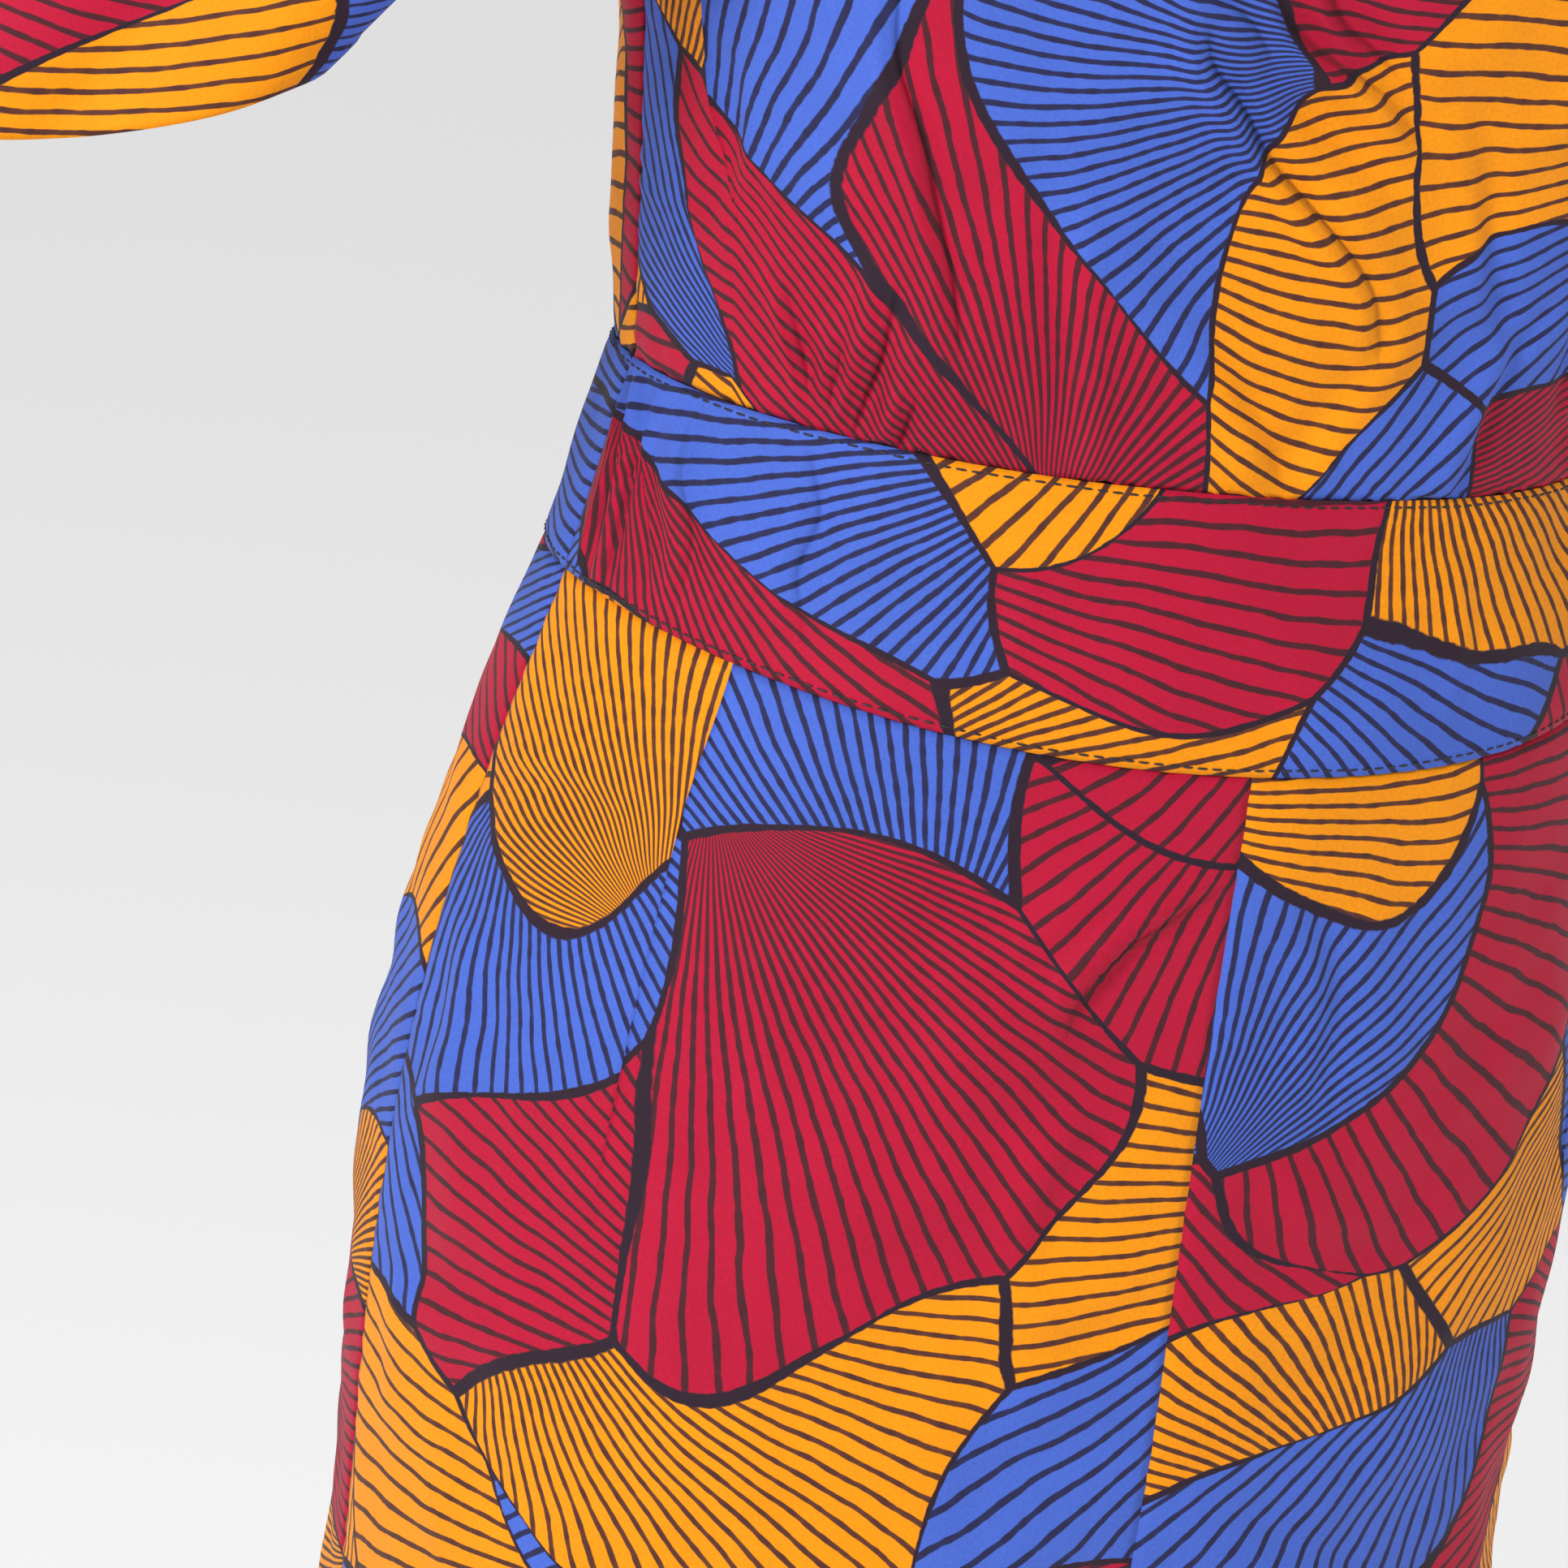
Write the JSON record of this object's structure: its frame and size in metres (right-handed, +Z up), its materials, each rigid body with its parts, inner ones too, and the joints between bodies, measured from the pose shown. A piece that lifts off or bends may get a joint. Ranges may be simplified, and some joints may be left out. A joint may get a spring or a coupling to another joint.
{
  "type": "off-shoulder jumpsuit",
  "caption": "Hollow printed cotton jumpsuit in worn form, with a gathered elastic neckline off the shoulders, bell sleeves, a wide shaped waistband and straight legs.",
  "frame": {"origin": "in the middle of the body at the height where the side waist seams meet the waistband, where the wearer's waist holds the garment", "axes": "+Z runs up from the legs to the neckline, -Y is the wearer's front, -X the wearer's right"},
  "size_m": [0.725, 0.2489, 1.3119],
  "materials": {
    "bodice_cotton": "crisp woven cotton, matt with a slight sheen, printed on the outside in cobalt, crimson and orange cells with dark lines",
    "waistband_cotton": "the same printed cotton, topstitched along both edges",
    "trouser_cotton": "the same printed cotton",
    "sleeve_cotton": "the same printed cotton",
    "casing_cotton": "the same printed cotton, folded over elastic"
  },
  "bodies": {
    "root": {"bodice_front": "bodice_cotton", "bodice_back_right": "bodice_cotton", "bodice_back_left": "bodice_cotton", "waistband_front": "waistband_cotton", "waistband_back_right": "waistband_cotton", "waistband_back_left": "waistband_cotton", "trouser_front_right": "trouser_cotton", "trouser_front_left": "trouser_cotton", "trouser_back_right": "trouser_cotton", "trouser_back_left": "trouser_cotton", "sleeve_right": "sleeve_cotton", "sleeve_left": "sleeve_cotton", "neck_casing": "casing_cotton"}
  },
  "joints": []
}
